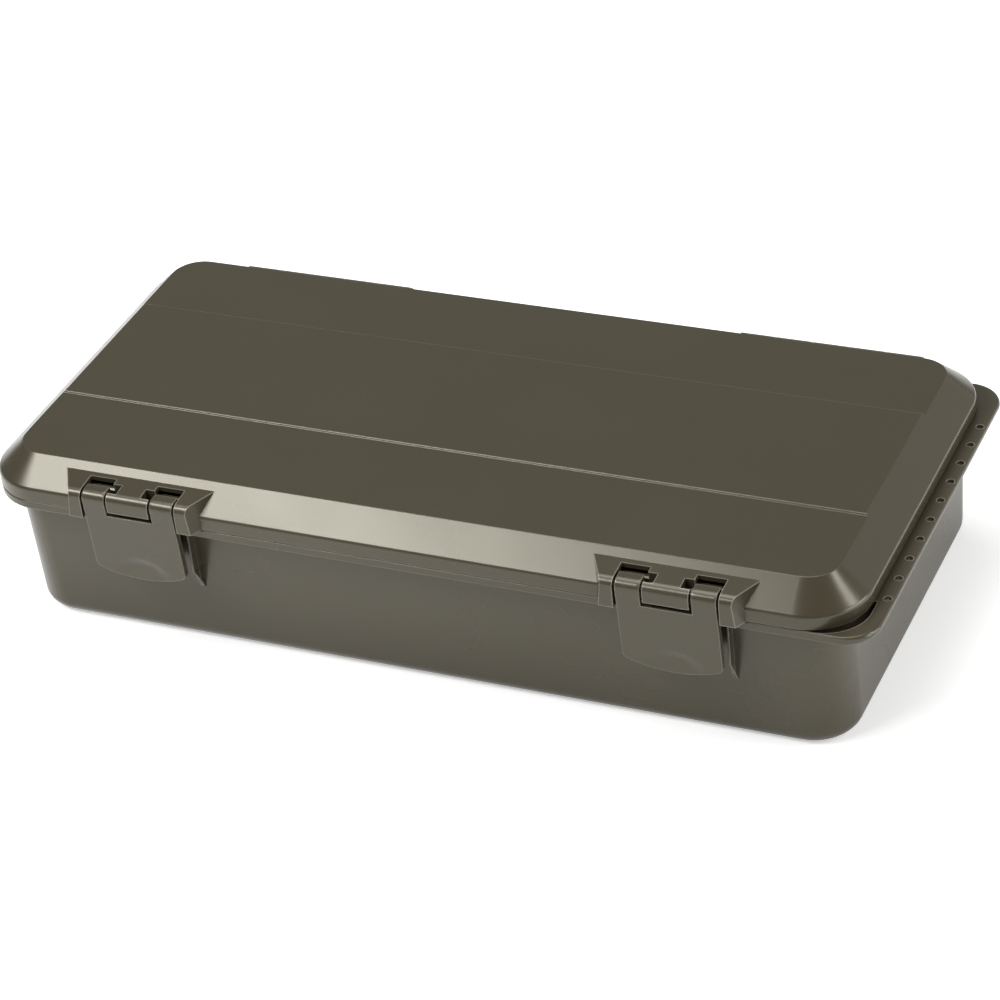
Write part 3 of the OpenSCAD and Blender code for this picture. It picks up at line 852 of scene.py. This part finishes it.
def rimRing(inset, z, ledgeInset):
    s = rimSizes
    y = s["halfDepth"] - inset
    return outline(s["left"] + inset, s["right"] - ledgeInset, -y, y,
                   s["leftCorner"] - inset, s["rightCorner"] - inset, z, 16)


def roundOff(radius, down):
    # how far a rounded edge has come in at this distance below its top
    up = max(0.0, radius - down)
    return radius - math.sqrt(radius * radius - up * up)


def cutPath(x0, x1, y1, half, r, z, steps=24):
    # from the front, round the right front corner and a little way back
    cx, cy = x1 - r, r - half
    start = math.acos(max(0.0, x0 - cx) / r)
    pts = [(x0, -half)] if x0 < cx else []
    turns = steps - len(pts)
    for k in range(turns + 1):
        a = -start * (1 - k / turns)
        pts.append((cx + r * math.cos(a), cy + r * math.sin(a)))
    pts.append((x1, y1))
    return [(x, y, z) for x, y in pts]


def makeRecessCutter(low, high):
    # an open step round the right front corner, between the lid's wall and the rim's edge
    s, wall = rimSizes, lidSizes["wall"]
    x1 = lidSizes["halfLength"]
    outer, inside = [], []
    for z in (low, high):
        outer.append(cutPath(s["recessFrom"], x1 + s["recessGap"], s["recessTo"],
                             s["halfDepth"] - s["recessLip"], s["recessCorner"], z))
        inside.append(cutPath(s["recessFrom"], x1 - wall, s["recessTo"],
                              s["halfDepth"] - wall, lidSizes["corner"] - wall, z))
    n = len(outer[0])
    verts = outer[0] + outer[1] + inside[0] + inside[1]
    sides = ((0, n), (2 * n, 3 * n), (0, 2 * n), (n, 3 * n))        # where the joined rows start
    faces = [(a + k, a + k + 1, b + k + 1, b + k) for k in range(n - 1) for a, b in sides]
    faces += [(k, n + k, 3 * n + k, 2 * n + k) for k in (0, n - 1)]
    return addMesh("c", verts, faces)


# Geometry Nodes: a tree with lengths in metres, counts and a finish as its inputs
def newTree(name, lengths, counts):
    tree = bpy.data.node_groups.new(name, "GeometryNodeTree")
    tree.interface.new_socket("Geometry", in_out="OUTPUT", socket_type="NodeSocketGeometry")
    for n, v in lengths.items():
        socket = tree.interface.new_socket(n, in_out="INPUT", socket_type="NodeSocketFloat")
        socket.default_value = v * mm
    for n, v in counts.items():
        socket = tree.interface.new_socket(n, in_out="INPUT", socket_type="NodeSocketInt")
        socket.default_value = v
    tree.interface.new_socket("Finish", in_out="INPUT", socket_type="NodeSocketMaterial")
    return tree, tree.nodes.new("NodeGroupInput").outputs


def vectorOf(tree, **parts):
    node = tree.nodes.new("ShaderNodeCombineXYZ")
    for key, v in parts.items():
        tree.links.new(v, node.inputs[key])
    return node.outputs[0]


def repeatShape(tree, shape, count, step):
    line = tree.nodes.new("GeometryNodeMeshLine")
    if isinstance(count, int):
        line.inputs["Count"].default_value = count
    else:
        tree.links.new(count, line.inputs["Count"])
    tree.links.new(step, line.inputs["Offset"])
    place = tree.nodes.new("GeometryNodeInstanceOnPoints")
    tree.links.new(line.outputs[0], place.inputs["Points"])
    tree.links.new(shape, place.inputs["Instance"])
    real = tree.nodes.new("GeometryNodeRealizeInstances")
    tree.links.new(place.outputs[0], real.inputs[0])
    return real.outputs[0]


def endTree(tree, shape, finish):
    paint = tree.nodes.new("GeometryNodeSetMaterial")
    tree.links.new(shape, paint.inputs["Geometry"])
    tree.links.new(finish, paint.inputs["Material"])
    tree.links.new(paint.outputs[0], tree.nodes.new("NodeGroupOutput").inputs[0])
    return tree


def bakeTree(name, tree, firstPlace):
    obj = addMesh(name, [], [])
    mod = obj.modifiers.new("repeat", "NODES")
    mod.node_group = tree
    for item in tree.interface.items_tree:
        if item.item_type == "SOCKET" and item.in_out == "INPUT" and item.name == "Finish":
            mod[item.identifier] = oliveShell
    applyAll(obj)
    obj.data.transform(Matrix.Translation(Vector(firstPlace) * mm))
    return obj


def pegHoleTree(deep):
    s = rimSizes
    tree, o = newTree("pegHoles", {"Hole radius": s["holeRadius"], "Hole depth": deep,
                                   "Hole pitch": s["holePitch"]}, {"Holes": s["holes"]})
    drill = tree.nodes.new("GeometryNodeMeshCylinder")
    drill.inputs["Vertices"].default_value = 32
    tree.links.new(o["Hole radius"], drill.inputs["Radius"])
    tree.links.new(o["Hole depth"], drill.inputs["Depth"])
    shape = repeatShape(tree, drill.outputs["Mesh"], o["Holes"], vectorOf(tree, Y=o["Hole pitch"]))
    return endTree(tree, shape, o["Finish"])


def makeRim():
    s, t = rimSizes, tubSizes
    low, high = seam["rimUnder"], seam["rimTop"]
    turns = [math.radians(90 * k / 8) for k in range(9)]
    rings = []
    for a in turns:
        up = s["ledgeUnder"] * (1 - math.cos(a))
        inset, ledgeInset = roundOff(s["underRound"], up), roundOff(s["ledgeUnder"], up)
        rings.append(rimRing(inset, low + up, ledgeInset))
    for a in turns:
        down = s["ledgeRound"] * (1 - math.sin(a))
        inset, ledgeInset = roundOff(s["topRound"], down), roundOff(s["ledgeRound"], down)
        rings.append(rimRing(inset, high - down, ledgeInset))
    d, r = s["overWall"], s["innerCorner"]
    x, front, back = t["halfLength"] - d, t["front"] + d, t["back"] - d
    rings += [outline(-x, x, front, back, r, r, z, 16) for z in (high, low)]
    rim = loft("rimFlange", rings, loop=True)
    firstHole = s["holeShift"] - (s["holes"] - 1) / 2 * s["holePitch"]
    firstPlace = (s["holeX"], firstHole, (high + low) / 2)
    drills = bakeTree("c", pegHoleTree(high - low + 2 * past), firstPlace)
    combine(rim, [makeRecessCutter(high - s["recessDeep"], high + 2 * past), drills], "DIFFERENCE")
    return soften(rim, s["edge"], 2, 50)


# guard ribs beside the latches, in mm

ribSizes = {
    "outer": 20.7, "thick": 1.6, "slimThick": 0.7, "front": -83.1, "slimBack": -79.4,
    "top": 56.2, "kink": 37.0, "slope": 1.75, "foot": 26.0, "footOut": 0.2, "footDown": 1.5,
    "overlap": 0.1, "into": 1, "edge": 0.2,
}


def makeGuards():
    # each rib is slimmer in front, on the side that faces the latch
    s = ribSizes
    wallY = tubSizes["front"]
    join, back = s["slimBack"] - s["overlap"], wallY + s["into"]
    slopeEnd = s["kink"] - (s["slimBack"] - s["front"]) * s["slope"]
    slim = [(s["slimBack"], s["top"]), (s["front"], s["top"]), (s["front"], s["kink"]),
            (s["slimBack"], slopeEnd)]
    rest = [(back, s["top"]), (join, s["top"]), (join, slopeEnd),
            (wallY - s["footOut"], s["foot"]), (back, s["foot"] - s["footDown"])]
    out = []
    for cx in pins["latchX"]:
        for side in (-1, 1):
            for profile, thick in ((slim, s["slimThick"]), (rest, s["thick"])):
                xa, xb = span(cx, side, s["outer"], s["outer"] - thick)
                out.append(soften(sideSolid("guard", profile, xa, xb), s["edge"]))
    return joinMeshes("guardRibs", out)


# hinge knuckles, in mm; the lid has the first, third and fifth of each row, the tub the rest
hingeSizes = {
    "length": 75.0, "count": 5, "gap": 0.5, "radius": 3.3, "bore": 1.25, "edge": 0.25,
    "stop": 6.0, "stopFrom": -30.4, "stopTo": -8.4,
    "lidWall": 84.0, "lidFoot": 59.5,
    "tubWall": 83.5, "tubFoot": 56.2, "tubUnder": 0.2, "tubBack": 85.5, "tubTop": 58.9,
}


def makeHingeRow(name, first):
    s = hingeSizes
    y, z, r = pins["hingeY"], pins["hingeZ"], s["radius"]
    one = (s["length"] - (s["count"] - 1) * s["gap"]) / s["count"]
    lidSide = [(s["lidWall"], s["lidFoot"])] + arcPoints(y, z, r, -100, 90, 24)
    lidSide += [(s["lidWall"], z + r)]
    tooth = [(y, z)] + arcPoints(y, z, s["stop"], s["stopFrom"], s["stopTo"], 4)
    tubSide = [(s["tubWall"], s["tubFoot"]), (y - s["tubUnder"], z - r)]
    tubSide += arcPoints(y, z, r, -80, 195, 28)
    tubSide += [(s["tubBack"], s["tubTop"]), (s["tubWall"], s["tubTop"])]
    out = []
    for cx in pins["hingeX"]:
        for i in range(first, s["count"], 2):
            x = cx - s["length"] / 2 + i * (one + s["gap"])
            piece = sideSolid("k", tubSide if first else lidSide, x, x + one)
            if not first:
                combine(piece, [sideSolid("t", tooth, x, x + one)], "UNION")
            combine(piece, [rod("c", x - past, x + one + past, y, z, s["bore"], 32)], "DIFFERENCE")
            out.append(soften(piece, s["edge"]))
    return joinMeshes(name, out)


# lanes of the tub, in mm; dividers stand at any of the places between two guides
lanes = {"count": 3, "thick": 1.8, "top": 52.0, "floor": 2.0, "places": 7, "halfLength": 167.8,
         "front": -74.6, "back": 80.7, "into": 0.5, "edge": 0.5}
laneWide = (lanes["back"] - lanes["front"] - 2 * lanes["thick"]) / lanes["count"]
laneStep = laneWide + lanes["thick"]
placeStep = 2 * lanes["halfLength"] / (lanes["places"] + 1)


def makePartitions():
    foot, top, half = lanes["floor"], lanes["top"], lanes["halfLength"] + lanes["into"]
    out = []
    for i in range(1, lanes["count"]):
        back = lanes["front"] + i * laneStep
        front = back - lanes["thick"]
        profile = [(front, foot), (back, foot), (back, top), (front, top)]
        out.append(soften(sideSolid("p", profile, -half, half), lanes["edge"], 3))
    return joinMeshes("partitions", out)


guides = {"thick": 1.4, "out": 1.3, "into": 0.3, "foot": 1.8, "top": 47.0, "gap": 1.05, "edge": 0.3}


def guideTree():
    # one rib, doubled across the slot and across the lane, then repeated over the tub
    g = guides
    tree, o = newTree("guideRibs", {
        "Rib thickness": g["thick"], "Rib depth": g["out"] + g["into"],
        "Rib height": g["top"] - g["foot"], "Slot pitch": 2 * g["gap"] + g["thick"],
        "Lane width": laneWide - g["out"] + g["into"], "Place pitch": placeStep,
        "Lane pitch": laneStep,
    }, {"Places": lanes["places"], "Lanes": lanes["count"]})
    cube = tree.nodes.new("GeometryNodeMeshCube")
    size = vectorOf(tree, X=o["Rib thickness"], Y=o["Rib depth"], Z=o["Rib height"])
    tree.links.new(size, cube.inputs["Size"])
    shape = repeatShape(tree, cube.outputs["Mesh"], 2, vectorOf(tree, X=o["Slot pitch"]))
    shape = repeatShape(tree, shape, 2, vectorOf(tree, Y=o["Lane width"]))
    shape = repeatShape(tree, shape, o["Places"], vectorOf(tree, X=o["Place pitch"]))
    shape = repeatShape(tree, shape, o["Lanes"], vectorOf(tree, Y=o["Lane pitch"]))
    return endTree(tree, shape, o["Finish"])


def makeGuides():
    g = guides
    firstPlace = (-lanes["halfLength"] + placeStep - g["gap"] - g["thick"] / 2,
                  lanes["front"] + (g["out"] - g["into"]) / 2, (g["foot"] + g["top"]) / 2)
    return soften(bakeTree("guideRibs", guideTree(), firstPlace), g["edge"])


tubShell = makeTub()
finishPiece(tubShell, oliveShell, "tub", ["base_tub"])
finishPiece(makeRim(), oliveShell, "tub")
finishPiece(makeGuards(), oliveShell, "tub")
finishPiece(makeHingeRow("tubKnuckles", 1), oliveShell, "tub")
finishPiece(makeHingeRow("lidKnuckles", 0), oliveShell, "lid")
finishPiece(makePartitions(), oliveShell, "tub")
finishPiece(makeGuides(), oliveShell, "tub")
print("tub ready")

# loose dividers, in mm

dividerSizes = {"thick": 1.6, "foot": 2.2, "top": 50.0, "clear": 0.25, "cut": 4.4,
                "beadThick": 3.0, "beadHigh": 2.2, "beadIn": 1.8, "edge": 0.3}
# places that hold a divider, counted from the left
standing = {"front": (1, 2, 4, 5, 6), "middle": (2, 3, 4, 6), "back": (1, 3, 5)}


def makeDivider(name, x, y):
    s = dividerSizes
    half = laneWide / 2 - s["clear"]
    base, top, cut = s["foot"], s["top"], s["cut"]
    front, back = y - half, y + half
    profile = [(front + cut, base), (back - cut, base), (back, base + cut), (back, top),
               (front, top), (front, base + cut)]
    plate = sideSolid(name, profile, x - s["thick"] / 2, x + s["thick"] / 2)
    beadHalf = half - s["beadIn"]
    bead = block("b", x - s["beadThick"] / 2, x + s["beadThick"] / 2, y - beadHalf, y + beadHalf,
                 top - s["beadHigh"], top)
    return soften(combine(plate, [bead], "UNION"), s["edge"], 3)


for i, lane in enumerate(("front", "middle", "back")):
    for n, place in enumerate(standing[lane]):
        x = -lanes["halfLength"] + place * placeStep
        y = lanes["front"] + i * laneStep + laneWide / 2
        piece = makeDivider(f"divider{lane.capitalize()}{n + 1}", x, y)
        finishPiece(piece, oliveDivider, "tub", [f"divider_{lane}_{n + 1}"])
print("dividers ready")

# the pins keep their solids and take drawn steel, darkened as painted shade

for node in ("latch_pin_left", "latch_pin_right", "hinge_pin_left", "hinge_pin_right"):
    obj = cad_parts[node]
    for slotItem in obj.material_slots:
        slotItem.material = pinSteel
print("pins ready")
